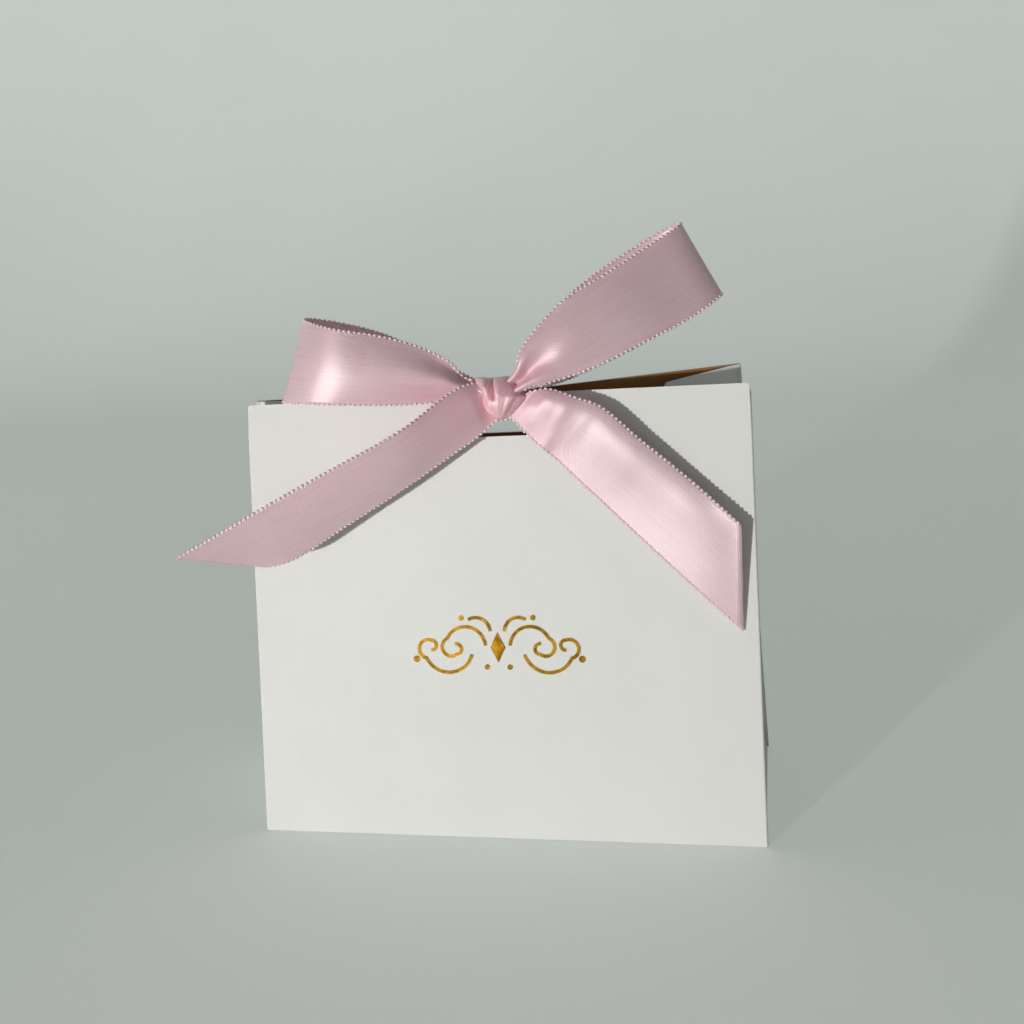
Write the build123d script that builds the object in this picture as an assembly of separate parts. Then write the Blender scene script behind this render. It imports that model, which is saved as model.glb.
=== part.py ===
from build123d import *
import math
import os

# Favor box of folded white card, closed by a satin ribbon tied in a bow. Millimetres, +Z up, the front
# faces -Y, and the origin is the middle of the base on the surface that the box stands on. The card's
# creases run along its inner faces, so each facet's thickness lies outside its crease lines.

# Card box
box_width = 114.0
box_depth = 46.0
panel_height = 99.0
card = 0.4
mouth_gap = 5.0
top_corner_radius = 0.8

# Right rear corner of the mouth, which bows open
corner_flare = 10.2
corner_draw = 2.4
flare_clearance = 1.0

# Ribbon slot, cut through both panels below a strip along the top edge, deeper in the rear panel
slot_width = 24.0
slot_height = 5.3
rear_slot_height = 6.6
slot_strip = 4.0

# Side gussets
wing_crease_gap = 0.6
triangle_crease_gap = 0.9
wing_tip_cut = 5.0
triangle_tip_width = 0.8

# Folded bottom
base_clearance = 0.5
layer_gap = 0.02
front_flap_depth = 41.0
back_flap_depth = 29.0
side_flap_length = 34.0
flap_taper = 6.0

# Seam flap, glued inside the back panel
glue_flap_width = 10.0
glue_flap_set_in = 4.5
glue_flap_end_gap = 8.0

# Ribbon
ribbon_width = 19.0
ribbon_thickness = 0.35
ribbon_clearance = 0.25
wrap_width = 10.0
wrap_seam_gap = 0.1
knot_offset = 4.0
knot_drop = 1.1
knot_width = 12.6
knot_height = 9.8
knot_depth = 8.6

# Foil ornament on the front panel
ornament_height = 42.8
ornament_unit = 1.0
ornament_line = 0.75
ornament_raise = 0.1

flare_start = knot_offset + wrap_width / 2 + flare_clearance
hinge_x = box_width / 2 - card
hinge_y = box_depth / 2 - card
lean = math.asin((hinge_y - mouth_gap / 2) / panel_height)

front_inside = Plane(
    origin=(0, -hinge_y, 0), x_dir=(1, 0, 0), z_dir=(0, -math.cos(lean), math.sin(lean))
)
back_inside = Plane(
    origin=(0, hinge_y, 0), x_dir=(-1, 0, 0), z_dir=(0, math.cos(lean), math.sin(lean))
)
front_face = front_inside.offset(card)


def plate(corners, thickness, towards):
    """A flat card facet through the corners, with its thickness on the side that towards points to."""
    outline = Face(Wire.make_polygon([Vector(*corner) for corner in corners], close=True))
    normal = outline.normal_at()
    if normal.dot(Vector(*towards)) < 0:
        normal = -normal
    return Solid.extrude(outline, normal * thickness)


def slotted(outline, height):
    slot_middle = panel_height - slot_strip - height / 2
    return outline - Pos(0, slot_middle) * SlotOverall(slot_width, height)


# Panels


def front_panel():
    outline = Rectangle(box_width, panel_height, align=(Align.CENTER, Align.MIN))
    outline = fillet(outline.vertices().sort_by(Axis.Y)[-2:], top_corner_radius)
    return extrude(front_inside * slotted(outline, slot_height), card)


# The rear panel is flat as far as a bend that climbs from its lower right corner to the top edge, and
# the card beyond the bend swings backwards. The right-hand crease keeps its length.
rear_foot = Vector(hinge_x, hinge_y, 0)
bend_top = back_inside.from_local_coords(Vector(-flare_start, panel_height, 0))


def flared_corner(x_from_foot):
    """Top of the right-hand rear edge, for a foot that stands x_from_foot off the crease."""
    across = corner_draw
    back = hinge_y - mouth_gap / 2 - corner_flare
    rise = math.sqrt(panel_height**2 - across**2 - back**2)
    return rear_foot + Vector(x_from_foot - across, -back, rise)


def back_panel():
    half = box_width / 2
    flat = Polygon(
        (-half, 0), (half, 0), (half, panel_height), (-flare_start, panel_height), align=None
    )
    flat = extrude(back_inside * slotted(flat, rear_slot_height), card)
    foot = rear_foot + Vector(card, 0, 0)
    corner = plate([foot, flared_corner(card), bend_top], card, (0, 1, 0))
    return flat + corner


def glue_flap():
    length = panel_height - 2 * glue_flap_end_gap
    near = hinge_x - glue_flap_set_in
    far = near - glue_flap_width
    outline = Polygon(
        (near, glue_flap_end_gap),
        (near, glue_flap_end_gap + length),
        (far, glue_flap_end_gap + length - glue_flap_width / 2),
        (far, glue_flap_end_gap + glue_flap_width / 2),
        align=None,
    )
    return extrude(back_inside * outline, -card)


# Side gussets. Each has a middle triangle that leans in from the base, and two wings that fold in from
# the panels' side creases. The three facets meet at one point on the gusset's top edge.


def gusset_point(front_top, rear_top, side):
    """Where the wings' top edges meet: half a gusset from both top corners, square to the front crease."""
    up = front_inside.y_dir
    span = rear_top - front_top
    level = span - up * span.dot(up)
    inward = up.cross(level).normalized() * side
    back = span.dot(span) / (2 * level.length)
    reach = math.sqrt(hinge_y**2 - back**2)
    return front_top + level.normalized() * back + inward * reach


def gusset(side):
    front_foot = Vector(side * hinge_x, -hinge_y, 0)
    front_top = front_foot + front_inside.y_dir * panel_height
    rear_base = Vector(side * hinge_x, hinge_y, 0)
    rear_top = flared_corner(0) if side > 0 else rear_base + back_inside.y_dir * panel_height
    point = gusset_point(front_top, rear_top, side)
    return front_foot, front_top, rear_base, rear_top, point


def wing(foot, top, point, towards):
    """A wing folded in from the crease foot-top, cut clear of its creases and of the other wing."""
    crease = (top - foot) / panel_height
    inward = (point - top) / hinge_y
    slope = hinge_y / panel_height

    def place(up, across):
        return foot + crease * up + inward * across

    tip_start = (2 * wing_crease_gap) / slope
    tip_drop = panel_height - wing_tip_cut
    corners = [
        place(tip_start, wing_crease_gap),
        place(panel_height, wing_crease_gap),
        place(panel_height, hinge_y - wing_tip_cut),
        place(tip_drop, tip_drop * slope - wing_crease_gap),
    ]
    return plate(corners, card, towards)


def side_triangle(front_foot, rear_base, point, side):
    gap = Vector(0, triangle_crease_gap, 0)
    share = 1 - (2 * triangle_crease_gap + triangle_tip_width) / (2 * hinge_y)
    corners = [
        front_foot + gap,
        rear_base - gap,
        rear_base + (point - rear_base) * share - gap,
        front_foot + (point - front_foot) * share + gap,
    ]
    return plate(corners, card, (side, 0, 0))


# Folded bottom: side flaps inside, then the rear flap, then the front flap that the box stands on

base_half_width = hinge_x - base_clearance
base_half_depth = hinge_y - base_clearance


def base_flap(corners, layer):
    level = layer * (card + layer_gap)
    return plate([(x, y, level) for x, y in corners], card, (0, 0, 1))


def base_front_flap():
    near = -base_half_depth
    far = near + front_flap_depth
    wide = base_half_width
    return base_flap([(-wide, near), (wide, near), (wide, far), (-wide, far)], 0)


def base_back_flap():
    near = base_half_depth
    far = near - back_flap_depth
    wide = base_half_width
    narrow = wide - flap_taper
    return base_flap([(wide, near), (-wide, near), (-narrow, far), (narrow, far)], 1)


def base_side_flap(side):
    near = side * base_half_width
    far = side * (base_half_width - side_flap_length)
    wide = base_half_depth
    narrow = wide - flap_taper
    return base_flap([(near, -wide), (near, wide), (far, narrow), (far, -narrow)], 2)


# Ribbon round the two strips above the slots. It is cut at the box's middle plane, so that each half
# stays on its own panel when the mouth opens.


def ribbon_wrap():
    inner_low = panel_height - slot_strip - ribbon_clearance
    inner_high = panel_height + ribbon_clearance
    outer_low = inner_low - ribbon_thickness
    outer_high = inner_high + ribbon_thickness
    front_inner = ribbon_clearance
    front_outer = front_inner + ribbon_thickness
    reach = mouth_gap + 2 * card
    profile = Polygon(
        (-reach, outer_low),
        (front_outer, outer_low),
        (front_outer, outer_high),
        (-reach, outer_high),
        (-reach, inner_high),
        (front_inner, inner_high),
        (front_inner, inner_low),
        (-reach, inner_low),
        align=None,
    )
    along_ribbon = Plane(
        origin=front_face.from_local_coords(Vector(knot_offset, 0, 0)),
        x_dir=front_face.z_dir,
        z_dir=(-1, 0, 0),
    )
    band = extrude(along_ribbon * profile, wrap_width / 2, both=True)
    beyond = Pos(knot_offset, -wrap_seam_gap / 2, 0) * Box(
        2 * wrap_width, 4 * reach, 2 * panel_height, align=(Align.CENTER, Align.MIN, Align.MIN)
    )
    return band - beyond


# Bow. Its frame sits on the front panel's outer face at the top edge, under the knot: x to the right,
# y up the panel and z off the panel.

bow = Plane(
    origin=front_face.from_local_coords(Vector(knot_offset, panel_height, 0)),
    x_dir=front_face.x_dir,
    z_dir=front_face.z_dir,
)

# Each station of a band is its middle in the bow's frame, in ribbon widths, and the way to its upper edge
# and back to its lower one in half widths: 1 is spread flat, less is gathered, more is a slanting cut.
left_tail_stations = [
    ((-0.35, -0.34, 0.28), (0.00, 0.42, 0.12)),
    ((-0.47, -0.34, 0.49), (-0.02, 0.55, 0.34)),
    ((-0.99, -0.65, 0.64), (0.02, 0.59, 0.55)),
    ((-1.76, -1.08, 0.75), (-0.02, 0.62, 0.66)),
    ((-2.56, -1.52, 0.83), (-0.28, 0.55, 0.71)),
    ((-3.22, -1.81, 0.87), (-0.79, 0.20, 0.73)),
]
right_tail_stations = [
    ((0.32, -0.27, 0.26), (0.21, 0.26, 0.00)),
    ((0.62, -0.30, 0.21), (0.49, 0.45, 0.07)),
    ((0.90, -0.50, 0.18), (0.57, 0.57, 0.11)),
    ((1.30, -0.89, 0.16), (0.54, 0.64, 0.14)),
    ((1.83, -1.39, 0.15), (0.53, 0.71, 0.17)),
    ((2.64, -2.17, 0.13), (0.03, 1.20, 0.19)),
]
left_loop_stations = [
    ((-0.38, 0.07, 0.33), (0.00, 0.26, 0.00)),
    ((-0.61, 0.17, 0.42), (0.09, 0.48, 0.00)),
    ((-0.99, 0.26, 0.54), (0.13, 0.68, 0.00)),
    ((-1.43, 0.33, 0.66), (0.15, 0.79, 0.00)),
    ((-1.84, 0.38, 0.74), (0.23, 0.83, 0.00)),
    ((-2.14, 0.43, 0.68), (0.27, 0.88, 0.00)),
    ((-2.38, 0.48, 0.50), (0.30, 0.94, 0.00)),
    ((-2.36, 0.51, 0.29), (0.30, 0.93, 0.00)),
    ((-1.99, 0.50, 0.08), (0.17, 0.83, 0.00)),
    ((-1.51, 0.44, -0.03), (0.11, 0.67, 0.00)),
    ((-0.97, 0.30, 0.04), (0.08, 0.45, 0.00)),
    ((-0.38, 0.08, 0.15), (0.00, 0.26, 0.00)),
]
right_loop_stations = [
    ((0.29, 0.16, 0.33), (-0.16, 0.20, 0.00)),
    ((0.45, 0.31, 0.33), (-0.27, 0.42, 0.03)),
    ((0.92, 0.62, 0.23), (-0.36, 0.74, 0.04)),
    ((1.46, 0.91, 0.05), (-0.46, 0.77, 0.05)),
    ((1.90, 1.17, -0.18), (-0.47, 0.83, 0.05)),
    ((2.19, 1.37, -0.37), (-0.45, 0.84, 0.05)),
    ((2.28, 1.47, -0.53), (-0.44, 0.84, 0.05)),
    ((2.14, 1.43, -0.67), (-0.42, 0.91, 0.03)),
    ((1.80, 1.25, -0.72), (-0.48, 0.93, 0.03)),
    ((1.29, 0.96, -0.63), (-0.48, 0.89, 0.00)),
    ((0.79, 0.64, -0.37), (-0.32, 0.80, 0.00)),
    ((0.44, 0.31, 0.03), (-0.26, 0.45, 0.00)),
    ((0.29, 0.16, 0.15), (-0.16, 0.20, 0.00)),
]
steps_per_span = 3


def smooth_path(points):
    """Points on a smooth curve through the given ones, closer together than they are."""
    path = []
    for i in range(len(points) - 1):
        before = points[max(i - 1, 0)]
        start = points[i]
        end = points[i + 1]
        after = points[min(i + 2, len(points) - 1)]
        for step in range(steps_per_span):
            t = step / steps_per_span
            line = start * 2 + (end - before) * t
            bend = (before * 2 - start * 5 + end * 4 - after) * t**2
            turn = (start * 3 - before - end * 3 + after) * t**3
            path.append((line + bend + turn) * 0.5)
    path.append(points[-1])
    return path


def ribbon_band(stations):
    """A band of the ribbon's thickness through the stations, one length from each station to the next."""
    middles = [Vector(*middle) * ribbon_width for middle, across in stations]
    half_widths = [Vector(*across) * (ribbon_width / 2) for middle, across in stations]
    uppers = smooth_path([middle + half for middle, half in zip(middles, half_widths)])
    lowers = smooth_path([middle - half for middle, half in zip(middles, half_widths)])
    centres = [(upper + lower) * 0.5 for upper, lower in zip(uppers, lowers)]
    last = len(centres) - 1
    sections = []
    for i in range(len(centres)):
        run = centres[min(i + 1, last)] - centres[max(i - 1, 0)]
        off = run.cross(uppers[i] - lowers[i]).normalized() * (ribbon_thickness / 2)
        corners = [uppers[i] + off, uppers[i] - off, lowers[i] - off, lowers[i] + off]
        outline = Wire.make_polygon([bow.from_local_coords(corner) for corner in corners], close=True)
        sections.append(outline)
    starts = range(0, last, steps_per_span)
    lengths = [Solid.make_loft(sections[i : i + steps_per_span + 1], ruled=True) for i in starts]
    return lengths[0].fuse(*lengths[1:])


def ribbon_knot():
    """The knot's puffed band, flat where it lies on the ribbon round the strip."""
    seat = ribbon_clearance + ribbon_thickness
    swell = [(0.0, 0.72), (0.3, 1.0), (0.72, 0.96), (1.0, 0.6)]
    sections = []
    for depth_share, size_share in swell:
        width = knot_width * size_share
        height = knot_height * size_share
        level = seat + knot_depth * depth_share
        outline = RectangleRounded(width, height, height * 0.38)
        sections.append(bow * Pos(0, -knot_drop, level) * outline)
    return loft(sections)


# Foil ornament: a lozenge between two mirrored pairs of scrolls, each a chain of arcs through points
# drawn in ornament units


def foil_ornament():
    scrolls = [
        [((2.8, 0.4), (7.0, 4.6), (11.6, 2.0)), ((11.6, 2.0), (12.4, -1.2), (9.6, -1.6)),
         ((9.6, -1.6), (8.4, -0.2), (9.8, 0.8))],
        [((6.0, -1.6), (11.0, -5.6), (16.6, -2.4)), ((16.6, -2.4), (18.0, 0.6), (15.4, 1.6)),
         ((15.4, 1.6), (14.2, 0.4), (15.4, -0.6))],
        [((1.6, 3.6), (3.6, 6.4), (6.6, 6.2))],
    ]
    beads = [(18.9, -2.6, 0.75), (8.2, 6.6, 0.6), (2.6, -4.4, 0.6)]
    corners = [(0, 3.4), (1.7, 0), (0, -3.4), (-1.7, 0)]

    def point(x, y):
        return (x * ornament_unit, y * ornament_unit)

    outline = Polygon(*[point(x, y) for x, y in corners], align=None)
    for side in (1, -1):
        for chain in scrolls:
            arcs = [ThreePointArc(*[point(side * x, y) for x, y in arc]) for arc in chain]
            outline = outline + trace(Curve() + arcs, ornament_line)
        for x, y, radius in beads:
            outline = outline + Pos(*point(side * x, y)) * Circle(radius * ornament_unit)
    place = front_face * Pos(0, ornament_height)
    return extrude(place * outline, ornament_raise, dir=front_face.z_dir)


def write(node, shape):
    export_step(shape, os.path.join("parts", node + ".step"))


os.makedirs("parts", exist_ok=True)

write("front_panel", front_panel())
write("back_panel", back_panel())
write("glue_flap", glue_flap())

for side, side_name in ((-1, "left"), (1, "right")):
    front_foot, front_top, rear_base, rear_top, point = gusset(side)
    write(side_name + "_front_wing", wing(front_foot, front_top, point, (0, 1, 0)))
    write(side_name + "_rear_wing", wing(rear_base, rear_top, point, (0, -1, 0)))
    write(side_name + "_side_triangle", side_triangle(front_foot, rear_base, point, side))
    write("base_" + side_name + "_flap", base_side_flap(side))

write("base_front_flap", base_front_flap())
write("base_back_flap", base_back_flap())

wrap = ribbon_wrap()
write("ribbon_wrap_front", wrap)
write("ribbon_wrap_back", mirror(wrap, about=Plane.XZ))
write("ribbon_knot", ribbon_knot())
write("left_loop", ribbon_band(left_loop_stations))
write("right_loop", ribbon_band(right_loop_stations))
write("left_tail", ribbon_band(left_tail_stations))
write("right_tail", ribbon_band(right_tail_stations))
write("foil_ornament", foil_ornament())
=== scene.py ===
import math
import bmesh
import bpy
import numpy as np
from mathutils import Matrix, Vector


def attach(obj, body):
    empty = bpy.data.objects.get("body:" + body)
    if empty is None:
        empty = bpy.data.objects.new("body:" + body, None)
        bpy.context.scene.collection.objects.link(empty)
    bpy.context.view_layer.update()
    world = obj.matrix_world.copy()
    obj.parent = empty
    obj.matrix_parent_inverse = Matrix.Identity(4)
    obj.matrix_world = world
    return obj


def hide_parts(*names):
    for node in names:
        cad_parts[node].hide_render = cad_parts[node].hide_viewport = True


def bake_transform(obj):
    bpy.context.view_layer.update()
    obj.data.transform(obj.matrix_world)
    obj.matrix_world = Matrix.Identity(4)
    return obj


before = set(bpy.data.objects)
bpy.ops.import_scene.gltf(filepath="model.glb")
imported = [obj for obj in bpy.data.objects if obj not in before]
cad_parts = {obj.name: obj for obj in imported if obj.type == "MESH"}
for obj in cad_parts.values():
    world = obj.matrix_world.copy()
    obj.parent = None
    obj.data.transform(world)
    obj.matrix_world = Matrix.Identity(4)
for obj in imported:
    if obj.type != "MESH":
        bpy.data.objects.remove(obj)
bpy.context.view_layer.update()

# Favor box of white card with a satin bow. Lengths below are millimetres, as in the part's source, and
# become metres when a mesh is made.
MM = 0.001

# Card box
BOX_DEPTH = 46.0
PANEL_HEIGHT = 99.0
CARD = 0.4
MOUTH_GAP = 5.0

# Ribbon
RIBBON_WIDTH = 19.0
RIBBON_THICKNESS = 0.24
KNOT_OFFSET = 4.0
SLOT_STRIP = 4.0

HINGE_Y = BOX_DEPTH / 2 - CARD
LEAN = math.asin((HINGE_Y - MOUTH_GAP / 2) / PANEL_HEIGHT)
RIGHT = np.array((1.0, 0.0, 0.0))
UP_PANEL = np.array((0.0, math.sin(LEAN), math.cos(LEAN)))
OFF_PANEL = np.array((0.0, -math.cos(LEAN), math.sin(LEAN)))
BOW_ORIGIN = np.array((KNOT_OFFSET, -HINGE_Y, 0.0)) + UP_PANEL * PANEL_HEIGHT + OFF_PANEL * CARD

# Stations of the bow's bands, from the knot outwards and, for a loop, back to it. Each is the band's middle in
# the bow's frame (right, up the panel, off the panel) in ribbon widths, and the way from there to its upper edge
# in half widths.
LEFT_TAIL = [
    ((-0.07, -0.07, 0.25), (-0.18, 0.39, 0.08)),
    ((-0.18, -0.10, 0.32), (-0.18, 0.46, 0.16)),
    ((-0.41, -0.24, 0.43), (-0.18, 0.54, 0.30)),
    ((-0.99, -0.65, 0.64), (0.02, 0.59, 0.55)),
    ((-1.76, -1.08, 0.75), (-0.02, 0.62, 0.66)),
    ((-2.56, -1.52, 0.83), (-0.28, 0.55, 0.71)),
    ((-3.22, -1.81, 0.87), (-0.79, 0.20, 0.73)),
]
RIGHT_TAIL = [
    ((0.13, -0.13, 0.24), (0.21, 0.20, 0.00)),
    ((0.27, -0.14, 0.25), (0.26, 0.31, 0.00)),
    ((0.44, -0.23, 0.23), (0.28, 0.51, 0.02)),
    ((0.66, -0.36, 0.22), (0.40, 0.57, 0.06)),
    ((0.90, -0.50, 0.19), (0.57, 0.57, 0.09)),
    ((1.30, -0.89, 0.17), (0.54, 0.64, 0.11)),
    ((1.83, -1.39, 0.15), (0.53, 0.71, 0.12)),
    ((2.64, -2.17, 0.13), (0.03, 1.20, 0.18)),
]
LEFT_LOOP = [
    ((-0.10, 0.02, 0.26), (0.00, 0.22, 0.00)),
    ((-0.38, 0.07, 0.33), (0.00, 0.26, 0.00)),
    ((-0.61, 0.17, 0.42), (0.09, 0.48, 0.00)),
    ((-0.99, 0.26, 0.54), (0.13, 0.68, 0.00)),
    ((-1.43, 0.33, 0.66), (0.15, 0.79, 0.00)),
    ((-1.84, 0.38, 0.74), (0.23, 0.83, 0.00)),
    ((-2.14, 0.43, 0.68), (0.27, 0.88, 0.00)),
    ((-2.38, 0.48, 0.50), (0.30, 0.94, 0.00)),
    ((-2.36, 0.51, 0.29), (0.30, 0.93, 0.00)),
    ((-1.99, 0.50, 0.08), (0.17, 0.83, 0.00)),
    ((-1.51, 0.44, -0.03), (0.11, 0.67, 0.00)),
    ((-0.97, 0.30, 0.04), (0.08, 0.45, 0.00)),
    ((-0.38, 0.08, 0.15), (0.00, 0.26, 0.00)),
    ((-0.10, 0.02, 0.26), (0.00, 0.22, 0.00)),
]
RIGHT_LOOP = [
    ((0.08, 0.02, 0.26), (-0.10, 0.16, 0.00)),
    ((0.29, 0.16, 0.33), (-0.16, 0.20, 0.00)),
    ((0.45, 0.31, 0.33), (-0.27, 0.42, 0.03)),
    ((0.92, 0.62, 0.23), (-0.36, 0.74, 0.04)),
    ((1.46, 0.91, 0.05), (-0.46, 0.77, 0.05)),
    ((1.90, 1.17, -0.18), (-0.47, 0.83, 0.05)),
    ((2.19, 1.37, -0.37), (-0.45, 0.84, 0.05)),
    ((2.28, 1.47, -0.53), (-0.44, 0.84, 0.05)),
    ((2.14, 1.43, -0.67), (-0.42, 0.91, 0.03)),
    ((1.80, 1.25, -0.72), (-0.48, 0.93, 0.03)),
    ((1.29, 0.96, -0.63), (-0.48, 0.89, 0.00)),
    ((0.79, 0.64, -0.37), (-0.32, 0.80, 0.00)),
    ((0.44, 0.31, 0.03), (-0.26, 0.45, 0.00)),
    ((0.29, 0.16, 0.15), (-0.16, 0.20, 0.00)),
    ((0.08, 0.02, 0.26), (-0.10, 0.16, 0.00)),
]


def bow_points(local):
    """Points of the bow's frame, in millimetres, as points of the object in metres."""
    local = np.asarray(local, float)
    return (BOW_ORIGIN + local @ np.array((RIGHT, UP_PANEL, OFF_PANEL))) * MM


# Materials


def tone(red, green, blue):
    """A colour written in 0 to 255 steps, as the shader wants it."""
    steps = [value / 255 for value in (red, green, blue)]
    return [v / 12.92 if v < 0.04045 else ((v + 0.055) / 1.055) ** 2.4 for v in steps] + [1.0]


class Finish:
    """A node material, put together one node at a time."""

    def __init__(self, name):
        self.material = bpy.data.materials.new(name)
        self.material.use_nodes = True
        self.tree = self.material.node_tree
        self.tree.nodes.clear()

    def node(self, kind, inputs=None, **settings):
        made = self.tree.nodes.new(kind)
        for key, value in settings.items():
            setattr(made, key, value)
        for key, value in (inputs or {}).items():
            if isinstance(value, bpy.types.NodeSocket):
                self.tree.links.new(value, made.inputs[key])
            else:
                made.inputs[key].default_value = value
        return made

    def math(self, operation, first, second=0.0, third=0.0):
        made = self.node("ShaderNodeMath", {0: first, 1: second, 2: third}, operation=operation)
        return made.outputs[0]

    def ramp(self, value, low, high, to_low=0.0, to_high=1.0):
        made = self.node(
            "ShaderNodeMapRange",
            {"Value": value, "From Min": low, "From Max": high, "To Min": to_low, "To Max": to_high},
            interpolation_type="SMOOTHSTEP",
        )
        return made.outputs[0]

    def mix(self, share, first, second):
        made = self.node("ShaderNodeMix", data_type="RGBA")
        for socket, value in ((made.inputs[0], share), (made.inputs[6], first), (made.inputs[7], second)):
            if isinstance(value, bpy.types.NodeSocket):
                self.tree.links.new(value, socket)
            else:
                socket.default_value = value
        return made.outputs[2]

    def noise(self, vector, scale, detail=3.0, roughness=0.5):
        inputs = {"Vector": vector, "Scale": scale, "Detail": detail, "Roughness": roughness}
        return self.node("ShaderNodeTexNoise", inputs).outputs[0]

    def bump(self, height, distance, strength):
        inputs = {"Height": height, "Distance": distance, "Strength": strength}
        return self.node("ShaderNodeBump", inputs).outputs[0]

    def surface(self, inputs):
        shader = self.node("ShaderNodeBsdfPrincipled", inputs)
        self.node("ShaderNodeOutputMaterial", {"Surface": shader.outputs[0]})
        return self.material


def card_finish(name, inward):
    """White card with a fine felt, and brown on the faces that look inward."""
    finish = Finish(name)
    place = finish.node("ShaderNodeTexCoord")
    where = place.outputs["Object"]
    facing = finish.node(
        "ShaderNodeVectorMath", {0: place.outputs["Normal"], 1: inward}, operation="DOT_PRODUCT"
    )
    inside = finish.math("GREATER_THAN", facing.outputs["Value"], 0.5)
    cloud = finish.noise(where, 45.0, 4.0)
    fibre = finish.noise(where, 1900.0, 3.0, 0.6)
    felt = finish.noise(where, 520.0, 4.0, 0.65)
    white = finish.mix(finish.ramp(cloud, 0.3, 0.7), tone(235, 235, 231), tone(238, 238, 234))
    white = finish.mix(finish.ramp(fibre, 0.6, 0.8, 0.0, 0.3), white, tone(225, 223, 217))
    brown = finish.mix(finish.ramp(cloud, 0.3, 0.7), tone(160, 114, 66), tone(174, 128, 78))
    brown = finish.mix(finish.ramp(fibre, 0.55, 0.75, 0.0, 0.6), brown, tone(132, 90, 48))
    colour = finish.mix(inside, white, brown)
    rough = finish.ramp(felt, 0.2, 0.8, 0.5, 0.68)
    relief = finish.math("ADD", finish.math("MULTIPLY", fibre, 0.4), felt)
    normal = finish.bump(relief, 0.00002, 0.5)
    return finish.surface(
        {"Base Color": colour, "Roughness": rough, "Normal": normal, "Specular IOR Level": 0.35}
    )


# Twill ridges and cross stitches of the satin in one unit of its UV map
TWILL_COUNT = 165.0
STITCH_COUNT = 130.0


def satin_finish(name, deep, pale, painted_glint):
    """Pink satin: long threads along the ribbon, a fine weave across it, and a soft sheen, with painted glints on
    the weave and a painted deeper pink near the start of each band.
    """
    finish = Finish(name)
    uv = finish.node("ShaderNodeUVMap", uv_map="ribbon").outputs[0]
    parts = finish.node("ShaderNodeSeparateXYZ", {0: uv})
    along = parts.outputs[0]
    across = parts.outputs[1]
    streak_place = finish.node("ShaderNodeMapping", {"Vector": uv, "Scale": (8.0, 260.0, 1.0)})
    streak = finish.noise(streak_place.outputs[0], 1.0, 4.0, 0.6)
    thread_place = finish.node("ShaderNodeMapping", {"Vector": uv, "Scale": (90.0, 420.0, 1.0)})
    thread = finish.noise(thread_place.outputs[0], 1.0, 2.0, 0.5)
    tilt = finish.math("MULTIPLY_ADD", along, 0.55, across)
    twill = finish.math("SINE", finish.math("MULTIPLY", tilt, 2 * math.pi * TWILL_COUNT))
    stitch = finish.math("SINE", finish.math("MULTIPLY", along, 2 * math.pi * STITCH_COUNT))
    weave = finish.math("MULTIPLY", twill, stitch)
    colour = finish.mix(finish.ramp(streak, 0.3, 0.7), deep, pale)
    # Painted light: over the first 3 to 20 mm of a band the pink turns up to 55 percent deeper, standing in for
    # light bounced between the folds by the knot.
    colour = finish.mix(finish.ramp(along, 0.03, 0.2, 0.55, 0.0), colour, tone(244, 176, 189))
    # Painted glints: where twill and stitch cross, the colour goes up to 70 percent of the way to the glint
    # colour.
    colour = finish.mix(finish.ramp(weave, 0.0, 1.0, 0.0, 0.7), colour, painted_glint)
    rough = finish.ramp(streak, 0.25, 0.75, 0.37, 0.43)
    relief = finish.math("MULTIPLY_ADD", finish.math("ADD", streak, thread), 0.35, weave)
    normal = finish.bump(relief, 0.00003, 0.6)
    tangent = finish.node("ShaderNodeTangent", direction_type="UV_MAP", uv_map="ribbon").outputs[0]
    return finish.surface({
        "Base Color": colour,
        "Roughness": rough,
        "Normal": normal,
        "Tangent": tangent,
        "Metallic": 0.06,
        "IOR": 1.65,
        "Anisotropic": 0.7,
        "Anisotropic Rotation": 0.25,
        "Specular IOR Level": 0.95,
        "Subsurface Weight": 0.5,
        "Subsurface Radius": (1.0, 0.55, 0.6),
        "Subsurface Scale": 0.0006,
        "Sheen Weight": 0.3,
        "Sheen Roughness": 0.5,
        "Sheen Tint": tone(250, 206, 215),
    })


def picot_finish():
    """The ribbon's edge thread: the same pink, wound in tight loops."""
    finish = Finish("picot_thread")
    where = finish.node("ShaderNodeTexCoord").outputs["Object"]
    shade = finish.noise(where, 1400.0, 3.0, 0.6)
    twist = finish.noise(where, 5200.0, 2.0, 0.5)
    colour = finish.mix(finish.ramp(shade, 0.3, 0.7), tone(240, 206, 212), tone(252, 236, 239))
    rough = finish.ramp(twist, 0.3, 0.7, 0.35, 0.55)
    normal = finish.bump(twist, 0.00003, 0.6)
    return finish.surface({
        "Base Color": colour,
        "Roughness": rough,
        "Normal": normal,
        "Sheen Weight": 0.2,
        "Specular IOR Level": 0.6,
    })


def foil_finish():
    """Stamped gold foil: bright, with the slight mottle of foil pressed into card."""
    finish = Finish("gold_foil")
    where = finish.node("ShaderNodeTexCoord").outputs["Object"]
    mottle = finish.noise(where, 420.0, 4.0, 0.6)
    grain = finish.noise(where, 2600.0, 3.0, 0.6)
    colour = finish.mix(finish.ramp(mottle, 0.35, 0.65), tone(92, 66, 10), tone(136, 102, 24))
    rough = finish.ramp(grain, 0.3, 0.7, 0.4, 0.56)
    relief = finish.math("ADD", mottle, finish.math("MULTIPLY", grain, 0.5))
    normal = finish.bump(relief, 0.00009, 0.6)
    return finish.surface(
        {"Base Color": colour, "Roughness": rough, "Normal": normal, "Metallic": 1.0}
    )


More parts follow.
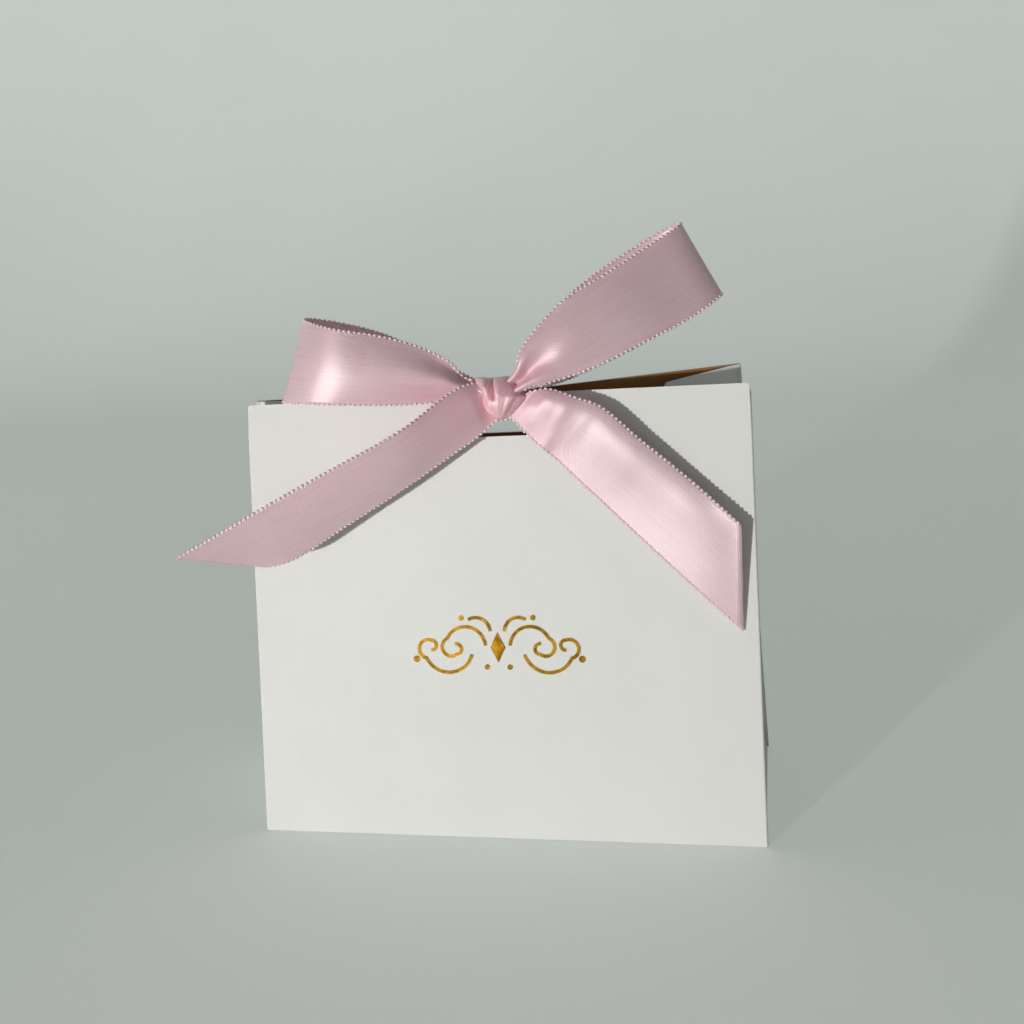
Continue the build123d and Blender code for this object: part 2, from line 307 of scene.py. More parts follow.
# The way to the inside of the box from each card facet
INWARD = {
    "front_panel": (0, 1, 0),
    "left_rear_wing": (0, 1, 0),
    "right_rear_wing": (0, 1, 0),
    "back_panel": (0, -1, 0),
    "glue_flap": (0, -1, 0),
    "left_front_wing": (0, -1, 0),
    "right_front_wing": (0, -1, 0),
    "left_side_triangle": (1, 0, 0),
    "right_side_triangle": (-1, 0, 0),
    "base_front_flap": (0, 0, 1),
    "base_back_flap": (0, 0, 1),
    "base_left_flap": (0, 0, 1),
    "base_right_flap": (0, 0, 1),
}


def dress(node, material):
    """Give a CAD node its finish."""
    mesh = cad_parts[node].data
    mesh.materials.clear()
    mesh.materials.append(material)


card_sides = {}
for node, inward in INWARD.items():
    if inward not in card_sides:
        card_sides[inward] = card_finish("card_%d" % len(card_sides), inward)
    dress(node, card_sides[inward])
dress("foil_ornament", foil_finish())
satin = satin_finish("satin", deep=tone(232, 189, 197), pale=tone(240, 205, 211), painted_glint=tone(252, 237, 240))
# Painted light: the knot's satin is a brighter, pinker copy of the satin, making up for the shade of the knot's
# folds.
knot_brightened_satin = satin_finish(
    "knot_brightened_satin", deep=tone(253, 194, 204), pale=tone(255, 212, 219), painted_glint=tone(255, 238, 241)
)
picot_thread = picot_finish()


# Ribbon


def smooth_path(points, steps):
    """Points on a smooth curve through the given ones, closer together than they are."""
    path = []
    for i in range(len(points) - 1):
        before, start = points[max(i - 1, 0)], points[i]
        end, after = points[i + 1], points[min(i + 2, len(points) - 1)]
        for t in np.arange(steps) / steps:
            bend = (2 * before - 5 * start + 4 * end - after) * t**2
            turn = (3 * start - before - 3 * end + after) * t**3
            path.append(0.5 * (2 * start + (end - before) * t + bend + turn))
    path.append(points[-1])
    return np.array(path)


def unit(vectors):
    return vectors / np.maximum(np.linalg.norm(vectors, axis=-1, keepdims=True), 1e-9)


def smoothstep(value, low, high):
    t = np.clip((value - low) / (high - low), 0.0, 1.0)
    return t * t * (3 - 2 * t)


def distance_gone(path):
    """How far along a path each of its points is."""
    return np.concatenate([[0], np.cumsum(np.linalg.norm(np.diff(path, axis=0), axis=1))])


def add_object(name, data):
    made = bpy.data.objects.new(name, data)
    bpy.context.scene.collection.objects.link(made)
    return made


def finish_mesh(name, mesh, material):
    """A smooth object of the mesh, with its faces turned outwards."""
    shell = bmesh.new()
    shell.from_mesh(mesh)
    bmesh.ops.recalc_face_normals(shell, faces=shell.faces)
    shell.to_mesh(mesh)
    shell.free()
    mesh.polygons.foreach_set("use_smooth", [True] * len(mesh.polygons))
    mesh.materials.append(material)
    return add_object(name, mesh)


def lay_uv(mesh, uv):
    """The ribbon's UV map, from one UV point for each vertex."""
    layer = mesh.uv_layers.new(name="ribbon")
    corner = np.zeros(len(mesh.loops), np.int32)
    mesh.loops.foreach_get("vertex_index", corner)
    layer.data.foreach_set("uv", uv[corner].astype(np.float32).ravel())


def sheet_mesh(name, grid, uv, thickness, material):
    """A thin closed shell about a grid of points in metres, with the ribbon's own UV map."""
    rows, columns = grid.shape[:2]
    run = np.gradient(grid, axis=0)
    span = np.gradient(grid, axis=1)
    normal = unit(np.cross(run, span))
    half = normal * (thickness * MM / 2)
    vertices = np.concatenate([(grid + half).reshape(-1, 3), (grid - half).reshape(-1, 3)])
    under = rows * columns
    faces = []
    for i in range(rows - 1):
        for j in range(columns - 1):
            a = i * columns + j
            b, c, d = a + columns, a + columns + 1, a + 1
            faces.append((a, b, c, d))
            faces.append((a + under, d + under, c + under, b + under))
    rim = list(range(columns))
    rim += [i * columns + columns - 1 for i in range(1, rows)]
    rim += [(rows - 1) * columns + j for j in range(columns - 2, -1, -1)]
    rim += [i * columns for i in range(rows - 2, 0, -1)]
    for k, a in enumerate(rim):
        b = rim[(k + 1) % len(rim)]
        faces.append((a, b, b + under, a + under))
    mesh = bpy.data.meshes.new(name)
    mesh.from_pydata(vertices.tolist(), [], faces)
    lay_uv(mesh, np.concatenate([uv.reshape(-1, 2)] * 2))
    return finish_mesh(name, mesh, material)


UV_LENGTH = 100.0  # millimetres of ribbon in one unit of its UV map
ACROSS = 28  # faces across a band
STEPS = 9  # rows from one station to the next
RIPPLE = 0.012
PLEAT_DEPTH = 0.75

# Where a band changes: from cupped to flat by its curvature and by the way left to a free end, from pleated to
# spread by its share of the full width, and where the wave along it begins and dies out
FLAT_BEND = (0.05, 0.11)
FLAT_END = (2.0, 20.0)
FLAT_ROWS = 11
SPREAD_WIDTH = (0.45, 0.85)
WAVE_IN = (8.0, 16.0)
WAVE_OUT = (0.0, 10.0)


def ribbon_grid(stations, cup, crest, pleats, gather, wave, free_end):
    """Surface of a band in the bow's frame: straight chords between its edges, swelled by what the gathered
    width leaves over, as pleats near the knot and as one broad cup further out."""
    middles = np.array([middle for middle, half in stations]) * RIBBON_WIDTH
    halves = np.array([half for middle, half in stations]) * RIBBON_WIDTH / 2
    uppers = smooth_path(middles + halves, STEPS)
    lowers = smooth_path(middles - halves, STEPS)
    centre = (uppers + lowers) / 2
    run = unit(np.gradient(centre, axis=0))
    chord = uppers - lowers
    square = chord - run * np.sum(chord * run, axis=1, keepdims=True)
    width = np.linalg.norm(square, axis=1)
    off = unit(np.cross(run, chord))
    slack = np.sqrt(2 * np.maximum((RIBBON_WIDTH / width) ** 2 - 1, 0.0))
    gone = distance_gone(centre)
    bent = np.linalg.norm(np.gradient(run, axis=0), axis=1) / np.gradient(gone)
    flat = np.pad(smoothstep(bent, *FLAT_BEND), FLAT_ROWS // 2, "edge")
    flat = np.convolve(flat, np.ones(FLAT_ROWS) / FLAT_ROWS, "valid")
    spread = smoothstep(width / RIBBON_WIDTH, *SPREAD_WIDTH)
    if free_end:
        flat = np.maximum(flat, 1 - smoothstep(gone[-1] - gone, *FLAT_END))
    pleated = gather * (1 - spread)
    cup_height = cup * slack * (1 - pleated) * (1 - flat) * width / math.pi
    pleat_height = PLEAT_DEPTH * slack * pleated * width / (math.pi * pleats)
    share = np.linspace(0, 1, ACROSS + 1)
    rise = np.outer(cup_height, np.sin(math.pi * share ** (math.log(0.5) / math.log(crest))))
    rise += np.outer(pleat_height, np.sin(math.pi * pleats * share))
    ripple = np.sin(gone[:, None] * 0.9 + 2.0 * share) + np.sin(gone[:, None] * 0.55 - 4.0 * share + 1.0)
    rise += RIPPLE * ripple * np.sin(math.pi * share) * spread[:, None]
    swell, period, phase, skew = wave
    turn = 2 * math.pi * (gone[:, None] - phase - skew * RIBBON_WIDTH * (share - 0.5)) / period
    fade = smoothstep(gone, *WAVE_IN) * smoothstep(gone[-1] - gone, *WAVE_OUT)
    rise += swell * np.sin(turn) * fade[:, None]
    grid = lowers[:, None] + chord[:, None] * share[None, :, None] + off[:, None] * rise[..., None]
    slant = np.sum((grid - centre[:, None]) * run[:, None], axis=2)
    uv = np.zeros(grid.shape[:2] + (2,))
    uv[..., 0] = (gone[:, None] + slant) / UV_LENGTH
    uv[..., 1] = share * RIBBON_WIDTH / UV_LENGTH
    return grid, uv, gone[-1]


def picot_tree():
    """Geometry nodes: a bead of thread at every pitch along the edges it is given."""
    tree = bpy.data.node_groups.new("picot_edge", "GeometryNodeTree")
    face = tree.interface
    face.new_socket("Edges", in_out="INPUT", socket_type="NodeSocketGeometry")
    face.new_socket("Pitch", in_out="INPUT", socket_type="NodeSocketFloat")
    face.new_socket("Bead Radius", in_out="INPUT", socket_type="NodeSocketFloat")
    face.new_socket("Seed", in_out="INPUT", socket_type="NodeSocketInt")
    face.new_socket("Thread", in_out="INPUT", socket_type="NodeSocketMaterial")
    face.new_socket("Beads", in_out="OUTPUT", socket_type="NodeSocketGeometry")
    nodes, link = tree.nodes, tree.links.new
    given = nodes.new("NodeGroupInput")
    result = nodes.new("NodeGroupOutput")
    line = nodes.new("GeometryNodeMeshToCurve")
    spaced = nodes.new("GeometryNodeResampleCurve")
    spaced.mode = "LENGTH"
    bead = nodes.new("GeometryNodeMeshUVSphere")
    bead.inputs["Segments"].default_value = 7
    bead.inputs["Rings"].default_value = 5
    smooth = nodes.new("GeometryNodeSetShadeSmooth")
    tangent = nodes.new("GeometryNodeInputTangent")
    turned = nodes.new("FunctionNodeAlignRotationToVector")
    turned.axis = "X"
    size = nodes.new("FunctionNodeRandomValue")
    size.data_type = "FLOAT_VECTOR"
    size.inputs[0].default_value = (0.95, 0.75, 0.8)
    size.inputs[1].default_value = (1.15, 0.95, 1.0)
    placed = nodes.new("GeometryNodeInstanceOnPoints")
    real = nodes.new("GeometryNodeRealizeInstances")
    dressed = nodes.new("GeometryNodeSetMaterial")
    link(given.outputs["Edges"], line.inputs["Mesh"])
    link(line.outputs["Curve"], spaced.inputs["Curve"])
    link(given.outputs["Pitch"], spaced.inputs["Length"])
    link(given.outputs["Bead Radius"], bead.inputs["Radius"])
    link(bead.outputs["Mesh"], smooth.inputs["Geometry"])
    link(spaced.outputs["Curve"], placed.inputs["Points"])
    link(smooth.outputs["Geometry"], placed.inputs["Instance"])
    link(tangent.outputs[0], turned.inputs["Vector"])
    link(turned.outputs["Rotation"], placed.inputs["Rotation"])
    link(given.outputs["Seed"], size.inputs["Seed"])
    link(size.outputs[0], placed.inputs["Scale"])
    link(placed.outputs["Instances"], real.inputs["Geometry"])
    link(real.outputs["Geometry"], dressed.inputs["Geometry"])
    link(given.outputs["Thread"], dressed.inputs["Material"])
    link(dressed.outputs["Geometry"], result.inputs["Beads"])
    return tree


PICOT_PITCH = 1.1
PICOT_RADIUS = 0.42
PICOT_INSET = 0.1
picot_group = picot_tree()


def picot_edge(name, lines, seed):
    """Both edges of a band, in metres, beaded by the picot tree and made a plain mesh."""
    vertices = [tuple(point) for line in lines for point in line]
    edges = []
    first = 0
    for line in lines:
        edges += [(first + i, first + i + 1) for i in range(len(line) - 1)]
        first += len(line)
    guide_mesh = bpy.data.meshes.new(name + "_guide")
    guide_mesh.from_pydata(vertices, edges, [])
    guide = add_object(name + "_guide", guide_mesh)
    beading = guide.modifiers.new("picot", "NODES")
    beading.node_group = picot_group
    values = {
        "Pitch": PICOT_PITCH * MM, "Bead Radius": PICOT_RADIUS * MM, "Seed": seed, "Thread": picot_thread
    }
    for item in picot_group.interface.items_tree:
        if item.in_out == "INPUT" and item.name in values:
            beading[item.identifier] = values[item.name]
    shown = guide.evaluated_get(bpy.context.evaluated_depsgraph_get())
    mesh = bpy.data.meshes.new_from_object(shown)
    mesh.name = name
    bpy.data.objects.remove(guide)
    return add_object(name, mesh)


def bow_band(node, stations, shape, seed, free_end=False):
    """One loop or tail: the band and its picot edges, with the part's own solid hidden."""
    grid, uv, length = ribbon_grid(stations, free_end=free_end, **shape)
    band = sheet_mesh(node + "_satin", bow_points(grid), uv, RIBBON_THICKNESS, satin)
    last = len(grid) - 1 if free_end else len(grid) - STEPS + 2
    rows = grid[STEPS - 2:last]
    lines = [
        bow_points(rows[:, edge] * (1 - PICOT_INSET) + rows[:, beside] * PICOT_INSET)
        for edge, beside in ((0, 1), (-1, -2))
    ]
    beads = picot_edge(node + "_picot", lines, seed)
    for piece in (band, beads):
        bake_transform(piece)
    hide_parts(node)


bow_band(
    "left_tail", LEFT_TAIL, seed=11, free_end=True,
    shape=dict(cup=-0.3, crest=0.5, pleats=2, gather=0.3, wave=(0.15, 40.0, 0.0, 0.0)),
)
bow_band(
    "right_tail", RIGHT_TAIL, seed=12, free_end=True,
    shape=dict(cup=0.3, crest=0.74, pleats=2, gather=0.1, wave=(0.3, 46.0, 4.0, 0.5)),
)
bow_band(
    "left_loop", LEFT_LOOP, seed=13,
    shape=dict(cup=-0.45, crest=0.5, pleats=3, gather=0.4, wave=(0.0, 30.0, 0.0, 0.0)),
)
bow_band(
    "right_loop", RIGHT_LOOP, seed=14,
    shape=dict(cup=0.3, crest=0.5, pleats=3, gather=0.6, wave=(0.15, 36.0, 14.0, 0.0)),
)

WRAP_WIDTH = 8.6
WRAP_PLEATS = 6
WRAP_SWELL = 0.95
WRAP_CLEAR = 0.4
SEAM_CLEAR = 0.05


def wrap_half(node, mirrored, seed):
    """The gathered ribbon round one slot strip, from the seam between the panels out and back to it."""

    def seam(height):
        return (height, (BOW_ORIGIN[1] + SEAM_CLEAR + height * UP_PANEL[1]) / UP_PANEL[2])

    low, high = -SLOT_STRIP - WRAP_CLEAR, WRAP_CLEAR
    corners = [
        seam(low), (low, -2.0), (low, -0.6), (low + 0.1, 0.05), (low + 0.45, 0.38), (-2.5, WRAP_CLEAR),
        (-1.5, WRAP_CLEAR), (-0.4, WRAP_CLEAR), (0.1, 0.2), (high, -0.3), (high, -1.2), seam(high),
    ]
    path = smooth_path(np.array(corners), 4)
    way = unit(np.gradient(path, axis=0))
    outward = np.stack([-way[:, 1], way[:, 0]], axis=1)
    share = np.linspace(0, 1, 2 * ACROSS + 1)
    fold = 0.5 - 0.5 * np.cos(2 * math.pi * WRAP_PLEATS * share)
    height = path[:, None] + outward[:, None] * (WRAP_SWELL * fold)[None, :, None]
    local = np.zeros(height.shape[:2] + (3,))
    local[..., 0] = (share - 0.5) * WRAP_WIDTH
    local[..., 1:] = height
    grid = bow_points(local)
    if mirrored:
        grid = grid * (1, -1, 1)
    gone = distance_gone(path)
    uv = np.zeros(grid.shape[:2] + (2,))
    uv[..., 0] = gone[:, None] / UV_LENGTH
    uv[..., 1] = share * RIBBON_WIDTH / UV_LENGTH
    band = sheet_mesh(node + "_satin", grid, uv, RIBBON_THICKNESS, satin)
    beads = picot_edge(node + "_picot", [grid[:, 0], grid[:, -1]], seed)
    for piece in (band, beads):
        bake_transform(piece)
    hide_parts(node)


wrap_half("ribbon_wrap_front", False, 15)
wrap_half("ribbon_wrap_back", True, 16)

# The knot in the bow's frame: its outline, the beaded border below, its lower tip and middle, the level of its
# outline off the panel, how far it swells to the front and rear, and the radius at which its UV map goes round
# the tip
KNOT_OUTLINE = [
    (-5.3, 3.5), (-3.9, 3.8), (-2.1, 3.55), (0.1, 3.65), (2.05, 3.7), (2.95, 2.7), (4.0, 1.1), (5.05, -0.2),
    (5.8, -1.0), (5.2, -2.15), (3.8, -3.6), (2.2, -5.0), (0.2, -5.6), (-1.35, -4.95), (-2.85, -3.7),
    (-3.9, -1.3), (-4.7, 1.1),
]
KNOT_BORDER = [(5.3, -2.0, 4.0), (3.9, -3.6, 3.8), (2.3, -5.0, 3.6), (0.2, -5.7, 3.4), (-1.3, -5.1, 3.4)]
KNOT_TIP = np.array((0.2, -6.4))
KNOT_MIDDLE = np.array((0.2, -0.6))
KNOT_LEVEL, KNOT_FRONT, KNOT_REAR = 4.4, 4.6, 3.6
KNOT_UV_RADIUS = 7.0


def bell(value, width):
    return np.exp(-((value / width) ** 2))


def knot_relief(x, v, reach):
    """Folds on the knot's face: a deep crease, a fold beside it, a rolled left border and a tucked right one."""
    crease_x = -0.85 - 0.12 * (v - 1.0)
    upper = smoothstep(v, -1.9, -0.2)
    relief = -1.5 * bell(x - crease_x, 0.38) * upper
    relief += 0.55 * bell(x - crease_x + 1.5, 0.8) * upper
    relief += 0.35 * bell(x - crease_x - 1.3, 1.0) * upper
    relief -= 0.5 * smoothstep(crease_x - x, 1.9, 3.2) * upper
    left = smoothstep(-x - 0.45 * v, 0.2, 1.6)
    relief += 0.45 * bell(reach - 0.9, 0.07) * left
    tuck = (x - 5.3) * 0.82 + (v + 0.4) * -0.57 + 1.0
    relief -= 1.1 * smoothstep(tuck, 0.0, 0.5) * smoothstep(-v, -0.6, 0.4)
    turn = np.arctan2(x - KNOT_TIP[0], v - KNOT_TIP[1])
    relief += (0.09 * np.sin(turn * 13.0 + 0.6) + 0.04 * np.sin(turn * 31.0)) * (1 - reach**4)
    return relief


def knot():
    """The knot: a puffed fold of ribbon that narrows to a tip below, closed behind."""
    around, rings, steps = 120, 34, 12
    ring = smooth_path(np.array(KNOT_OUTLINE[-2:] + KNOT_OUTLINE + KNOT_OUTLINE[:3]), steps)
    ring = ring[2 * steps:(2 + len(KNOT_OUTLINE)) * steps]
    picks = np.linspace(0, len(ring), around, endpoint=False)
    whole = np.arange(len(ring) + 1)
    closed = np.concatenate([ring, ring[:1]])
    ring = np.stack([np.interp(picks, whole, closed[:, axis]) for axis in (0, 1)], axis=1)
    vertices, uv = [], []

    def add(points, level):
        for (x, v), n in zip(points, level):
            vertices.append((x, v, n))
            out, turn = math.hypot(x - KNOT_TIP[0], v - KNOT_TIP[1]), math.atan2(x - KNOT_TIP[0], v - KNOT_TIP[1])
            uv.append((out / UV_LENGTH, turn * KNOT_UV_RADIUS / UV_LENGTH))

    for side, depth in ((1, KNOT_FRONT), (-1, -KNOT_REAR)):
        for i in range(rings if side > 0 else rings - 1):
            turn = math.pi / 2 * (i + 0.5) / (rings - 0.5)
            reach = math.sin(turn) ** 0.9
            points = KNOT_MIDDLE + (ring - KNOT_MIDDLE) * reach
            level = KNOT_LEVEL + depth * math.cos(turn) ** 0.75 * np.ones(around)
            if side > 0:
                level = level + knot_relief(points[:, 0], points[:, 1], reach) * math.cos(turn) ** 0.4
            add(points, level)
    faces = []
    for i in range(rings - 1):
        for j in range(around):
            k = (j + 1) % around
            faces.append((i * around + j, i * around + k, (i + 1) * around + k, (i + 1) * around + j))
    first = rings * around
    for i in range(rings - 2):
        for j in range(around):
            k = (j + 1) % around
            a = first + i * around
            faces.append((a + j, a + around + j, a + around + k, a + k))
    last = first + (rings - 2) * around
    edge = (rings - 1) * around
    for j in range(around):
        k = (j + 1) % around
        faces.append((last + j, edge + j, edge + k, last + k))
    for start in (0, first):
        faces.append(tuple(range(start, start + around)))
    mesh = bpy.data.meshes.new("knot_brightened_satin")
    mesh.from_pydata(bow_points(np.array(vertices)).tolist(), [], faces)
    lay_uv(mesh, np.array(uv))
    piece = finish_mesh("knot_brightened_satin", mesh, knot_brightened_satin)
    border = smooth_path(np.array(KNOT_BORDER), 6)
    beads = picot_edge("knot_picot", [bow_points(border)], 17)
    for part in (piece, beads):
        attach(part, "front_panel")
    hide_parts("ribbon_knot")


knot()


# Creases of the side gussets: the folded card between a panel and a wing, and between a wing and the middle
# triangle

CREASE_ROWS = 12
FOLD_START = 0.003
CREASE_START, CREASE_END = 0.012, 0.94
HALF_WIDTH = 57.0
HINGE_X = HALF_WIDTH - CARD
CORNER_FLARE = 10.2
CORNER_DRAW = 2.4


def gusset_lines(side):
    """Feet and tops of a gusset's two panel creases, and the point where its three facets meet."""
    front_foot = np.array((side * HINGE_X, -HINGE_Y, 0.0))
    front_top = front_foot + UP_PANEL * PANEL_HEIGHT
    rear_foot = front_foot * (1, -1, 1)
    rear_top = front_top * (1, -1, 1)
    if side > 0:
        back = HINGE_Y - MOUTH_GAP / 2 - CORNER_FLARE
        rise = math.sqrt(PANEL_HEIGHT**2 - CORNER_DRAW**2 - back**2)
        rear_top = rear_foot + np.array((-CORNER_DRAW, -back, rise))
    span = rear_top - front_top
    level = span - UP_PANEL * (span @ UP_PANEL)
    inward = unit(np.cross(UP_PANEL, level)) * side
    back = (span @ span) / (2 * np.linalg.norm(level))
    point = front_top + unit(level) * back + inward * math.sqrt(HINGE_Y**2 - back**2)
    return front_foot, front_top, rear_foot, rear_top, point


def crease_strip(name, outline, start, end, first, last, material):
    """A strip of card along the line from start to end, with an outline of offsets from that line."""
    outline = np.array(outline)
    rows = [start + (end - start) * share + outline for share in np.linspace(first, last, CREASE_ROWS)]
    return closed_strip(name, rows, material)


def closed_strip(name, rows, material):
    """A closed strip through rows of outline points, in millimetres."""
    count = len(rows[0])
    vertices = np.concatenate(rows) * MM
    faces = []
    for i in range(len(rows) - 1):
        for j in range(count):
            k = (j + 1) % count
            faces.append((i * count + j, i * count + k, (i + 1) * count + k, (i + 1) * count + j))
    faces.append(tuple(range(count)))
    faces.append(tuple(range((len(rows) - 1) * count, len(rows) * count)))
    mesh = bpy.data.meshes.new(name)
    mesh.from_pydata(vertices.tolist(), [], faces)
    return finish_mesh(name, mesh, material)


def towards(vector, way):
    """The vector or its opposite, whichever points the given way."""
    return vector if vector @ np.array(way, float) > 0 else -vector


def gusset_creases(side, side_name, material):
    """The folds between one gusset's wings and the panels, and its creases between the wings and the triangle."""
    front_foot, front_top, rear_foot, rear_top, point = gusset_lines(side)
    triangle_out = towards(unit(np.cross(rear_foot - front_foot, point - front_foot)), (side, 0, 0))
    for foot, top, wing, panel, groove, reach in (
        (front_foot, front_top, side_name + "_front_wing", "front_panel", (0, 1, 0), 0.984),
        (rear_foot, rear_top, side_name + "_rear_wing", "back_panel", (0, -1, 0), 0.999),
    ):
        along = unit(top - foot)
        inward = unit(point - top)
        wing_out = towards(unit(np.cross(along, inward)), groove)
        edge = np.array((side, 0.0, 0.0))
        edge = unit(edge - along * (edge @ along))
        panel_in = towards(unit(np.cross(along, edge)), groove)
        fold = [
            edge * 0.36 - panel_in * 0.37, edge * 0.56 - panel_in * 0.29, edge * 0.7 - panel_in * 0.12,
            edge * 0.74 + panel_in * 0.06, edge * 0.64 + wing_out * 0.22, edge * 0.42 + wing_out * 0.36,
            edge * 0.1 + wing_out * 0.42, inward * 0.25 + wing_out * 0.415, inward * 0.75 + wing_out * 0.39,
            inward * 0.75 + wing_out * 0.03, inward * 0.2 - panel_in * 0.05,
        ]
        strip = crease_strip(wing + "_fold", fold, foot, top, FOLD_START, reach, material)
        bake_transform(strip)
        slant = unit(point - foot)
        into_wing = towards(unit(inward - slant * (inward @ slant)), top - foot)
        level = np.array((0.0, -np.sign(foot[1]), 0.0))
        into_triangle = unit(level - slant * (level @ slant))
        middle_out = unit(wing_out + triangle_out)
        bridge = [
            into_wing * 0.75 + wing_out * 0.02, np.zeros(3), into_triangle * 1.05 + triangle_out * 0.02,
            into_triangle * 1.05 + triangle_out * 0.38, middle_out * 0.39, into_wing * 0.75 + wing_out * 0.38,
        ]
        strip = crease_strip(wing + "_crease", bridge, foot, point, CREASE_START, CREASE_END, material)
        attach(strip, side_name + "_side_triangle")


# How far the right rear wing's edge leaves the triangle, for a whole crease, when the mouth is wide open, and
# the way that the wing lies then: first away from the triangle, then out of it
WING_LEAVES = np.array((2.27, 2.88))
WING_LIES = np.array((0.826, 0.566))
LAP_START = 0.06
LAP_FULL = 0.3
LAP_SHARE = 0.97
LAP_UNDER = 1.2
LAP_CLEAR = 0.08
LAP_CARD = 0.25


def rear_crease_lap(material):
    """Card lapped behind the right rear crease, so that the gusset stays closed when the mouth opens."""
    front_foot, _, rear_foot, _, point = gusset_lines(1)
    out = towards(unit(np.cross(rear_foot - front_foot, point - front_foot)), (1, 0, 0))
    slant = unit(point - rear_foot)
    away = towards(unit(np.cross(slant, out)), (0, 1, 0))
    behind = np.array((WING_LIES[1], -WING_LIES[0]))
    rows = []
    for share in np.linspace(LAP_START, CREASE_END, CREASE_ROWS):
        edge = WING_LEAVES * share * LAP_SHARE + behind * LAP_CLEAR
        tip = edge + WING_LIES * LAP_UNDER * min(1.0, share / LAP_FULL)
        inside = behind * LAP_CARD
        outline = np.array([(0.0, 0.15), edge, tip, tip + inside, edge + inside, (0.22, 0.0)])
        rows.append(rear_foot + (point - rear_foot) * share + outline @ np.array((away, out)))
    strip = closed_strip("right_rear_wing_lap", rows, material)
    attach(strip, "right_side_triangle")


crease_card = card_finish("card_crease", (0, 0, 0))
gusset_creases(-1, "left", crease_card)
gusset_creases(1, "right", crease_card)
rear_crease_lap(card_sides[INWARD["right_rear_wing"]])


# Light, floor and camera


PAPER_GLOW = 0.25
PAPER_REACH = 3.0
PAPER_TOP = 2.0
SWEEP_START = 0.45
SWEEP_RADIUS = 0.4
SWEEP_STEPS = 12


def stage_finish():
    """Pale grey paper that shows a little brighter than it lights the box."""
    finish = Finish("backdrop_paper")
    where = finish.node("ShaderNodeTexCoord").outputs["Object"]
    cloud = finish.noise(where, 3.0, 3.0)
    grain = finish.noise(where, 900.0, 3.0, 0.6)
    colour = finish.mix(finish.ramp(cloud, 0.3, 0.7), tone(218, 222, 218), tone(226, 229, 225))
    normal = finish.bump(grain, 0.00002, 0.3)
    seen = finish.node("ShaderNodeLightPath")
    direct = finish.math("MAXIMUM", seen.outputs["Is Camera Ray"], seen.outputs["Is Glossy Ray"])
    direct = finish.math("MAXIMUM", direct, seen.outputs["Is Transmission Ray"])
    return finish.surface({
        "Base Color": colour,
        "Roughness": 0.8,
        "Normal": normal,
        "Specular IOR Level": 0.2,
        "Emission Color": tone(246, 255, 250),
        "Emission Strength": finish.math("MULTIPLY", direct, PAPER_GLOW),
    })


def sweep():
    """Floor and backdrop as one sheet of paper that curves up behind the box."""
    profile = [(-PAPER_REACH, 0.0), (SWEEP_START, 0.0)]
    for step in range(1, SWEEP_STEPS + 1):
        turn = math.pi / 2 * step / SWEEP_STEPS
        profile.append((SWEEP_START + SWEEP_RADIUS * math.sin(turn), SWEEP_RADIUS * (1 - math.cos(turn))))
    profile.append((SWEEP_START + SWEEP_RADIUS, PAPER_TOP))
    vertices = [(x, y, z) for y, z in profile for x in (-PAPER_REACH, PAPER_REACH)]
    faces = [(2 * i, 2 * i + 1, 2 * i + 3, 2 * i + 2) for i in range(len(profile) - 1)]
    mesh = bpy.data.meshes.new("sweep")
    mesh.from_pydata(vertices, [], faces)
    mesh.polygons.foreach_set("use_smooth", [True] * len(mesh.polygons))
    mesh.materials.append(stage_finish())
    add_object("sweep", mesh)


KEY_WAY = Vector((0.5, 1.013, 0.02)).normalized()
KEY_TARGET = Vector((0.0, 0.0, 0.07))
KEY_DISTANCE = 1.2
KEY_SIZE = 0.045
KEY_POWER = 9.0
KEY_COLOUR = (1.0, 0.985, 0.96)


def key_lamp():
    """One small lamp from the front left, for the ribbon's crisp shadow and sheen."""
    lamp = bpy.data.lights.new("key", "AREA")
    lamp.size = KEY_SIZE
    lamp.energy = KEY_POWER
    lamp.color = KEY_COLOUR
    holder = add_object("key", lamp)
    holder.location = KEY_TARGET - KEY_WAY * KEY_DISTANCE
    holder.rotation_euler = KEY_WAY.to_track_quat("-Z", "Y").to_euler()


CAMERA_PLACE = (0.0635, -0.26108, 0.14654)
CAMERA_YAW, CAMERA_PITCH, CAMERA_ROLL = (math.radians(angle) for angle in (-12.821, -12.773, -5.027))
SENSOR = 36.0
FRAME_PIXELS = 1024.0
FOCAL_PIXELS = 1221.2
CENTRE_ROW = 440.0


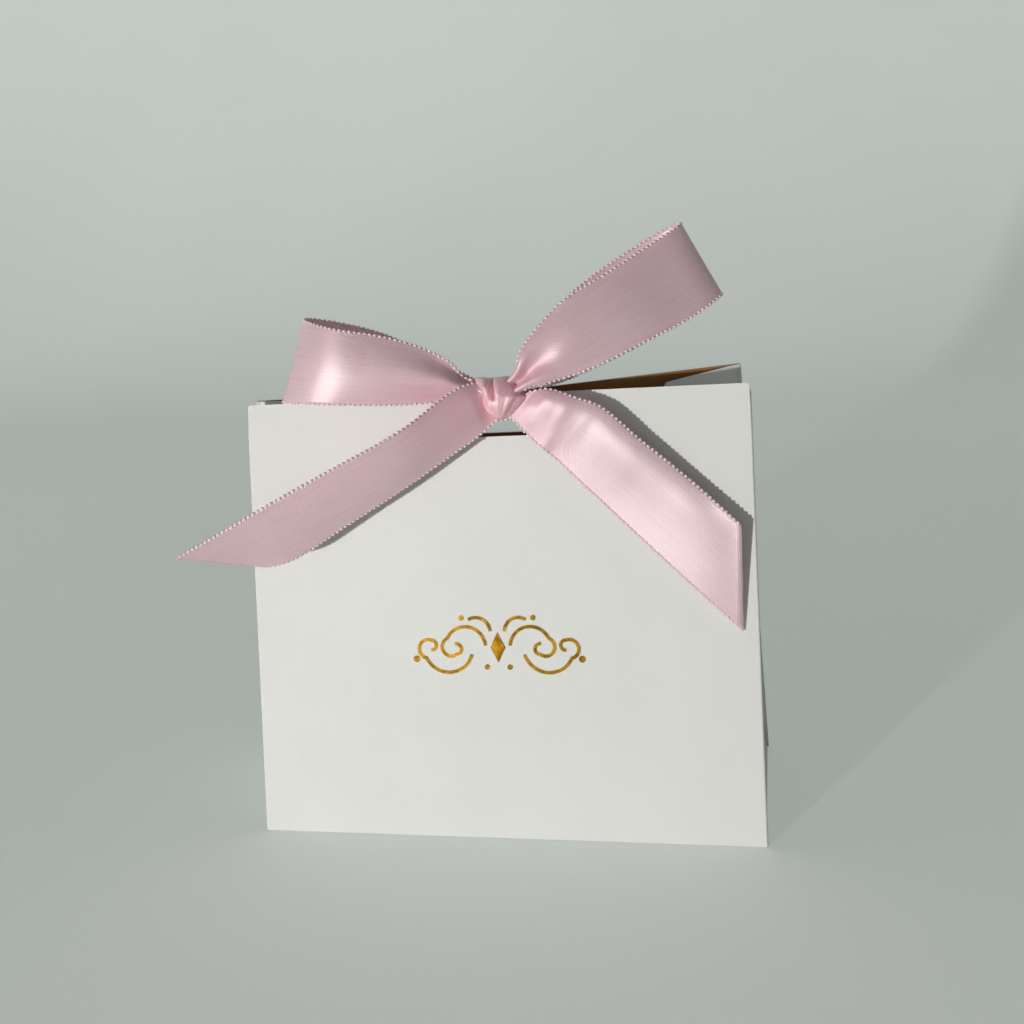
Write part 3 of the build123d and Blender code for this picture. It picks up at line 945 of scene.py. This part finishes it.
def camera():
    """The photograph's viewpoint, with the small shift that its framing needs."""
    forward = Vector((
        math.sin(CAMERA_YAW) * math.cos(CAMERA_PITCH),
        math.cos(CAMERA_YAW) * math.cos(CAMERA_PITCH),
        math.sin(CAMERA_PITCH),
    ))
    level = Vector((math.cos(CAMERA_YAW), -math.sin(CAMERA_YAW), 0.0))
    upright = level.cross(forward)
    right = level * math.cos(CAMERA_ROLL) + upright * math.sin(CAMERA_ROLL)
    up = upright * math.cos(CAMERA_ROLL) - level * math.sin(CAMERA_ROLL)
    data = bpy.data.cameras.new("camera")
    data.sensor_width = SENSOR
    data.lens = FOCAL_PIXELS * SENSOR / FRAME_PIXELS
    data.shift_y = (CENTRE_ROW - FRAME_PIXELS / 2) / FRAME_PIXELS
    data.clip_start = 0.01
    eye = add_object("camera", data)
    turn = Matrix((right, up, -forward)).transposed()
    eye.matrix_world = Matrix.Translation(CAMERA_PLACE) @ turn.to_4x4()
    bpy.context.scene.camera = eye


LIGHT_BELOW = 0.68
LIGHT_ABOVE = 0.03
LIGHT_FADES = (0.0, 0.1, 0.99)


def studio_world():
    """Soft light, stronger from the sides and below than from above, and a pale backdrop beyond the paper."""
    world = bpy.data.worlds.new("studio")
    bpy.context.scene.world = world
    world.use_nodes = True
    nodes, link = world.node_tree.nodes, world.node_tree.links.new
    light = nodes["Background"]
    light.inputs[0].default_value = (0.95, 1.0, 1.0, 1.0)
    way = nodes.new("ShaderNodeTexCoord")
    upward = nodes.new("ShaderNodeVectorMath")
    upward.operation = "DOT_PRODUCT"
    upward.inputs[1].default_value = LIGHT_FADES
    level = nodes.new("ShaderNodeMapRange")
    level.inputs["From Min"].default_value = -1.0
    level.inputs["From Max"].default_value = 1.0
    level.inputs["To Min"].default_value = LIGHT_BELOW
    level.inputs["To Max"].default_value = LIGHT_ABOVE
    seen = nodes.new("ShaderNodeLightPath")
    pale = nodes.new("ShaderNodeBackground")
    pale.inputs[0].default_value = tone(184, 189, 185)
    either = nodes.new("ShaderNodeMixShader")
    link(way.outputs["Generated"], upward.inputs[0])
    link(upward.outputs["Value"], level.inputs["Value"])
    link(level.outputs[0], light.inputs[1])
    link(seen.outputs["Is Camera Ray"], either.inputs[0])
    link(light.outputs[0], either.inputs[1])
    link(pale.outputs[0], either.inputs[2])
    link(either.outputs[0], nodes["World Output"].inputs[0])


sweep()
camera()
key_lamp()
studio_world()
bpy.context.scene.view_settings.view_transform = "Standard"
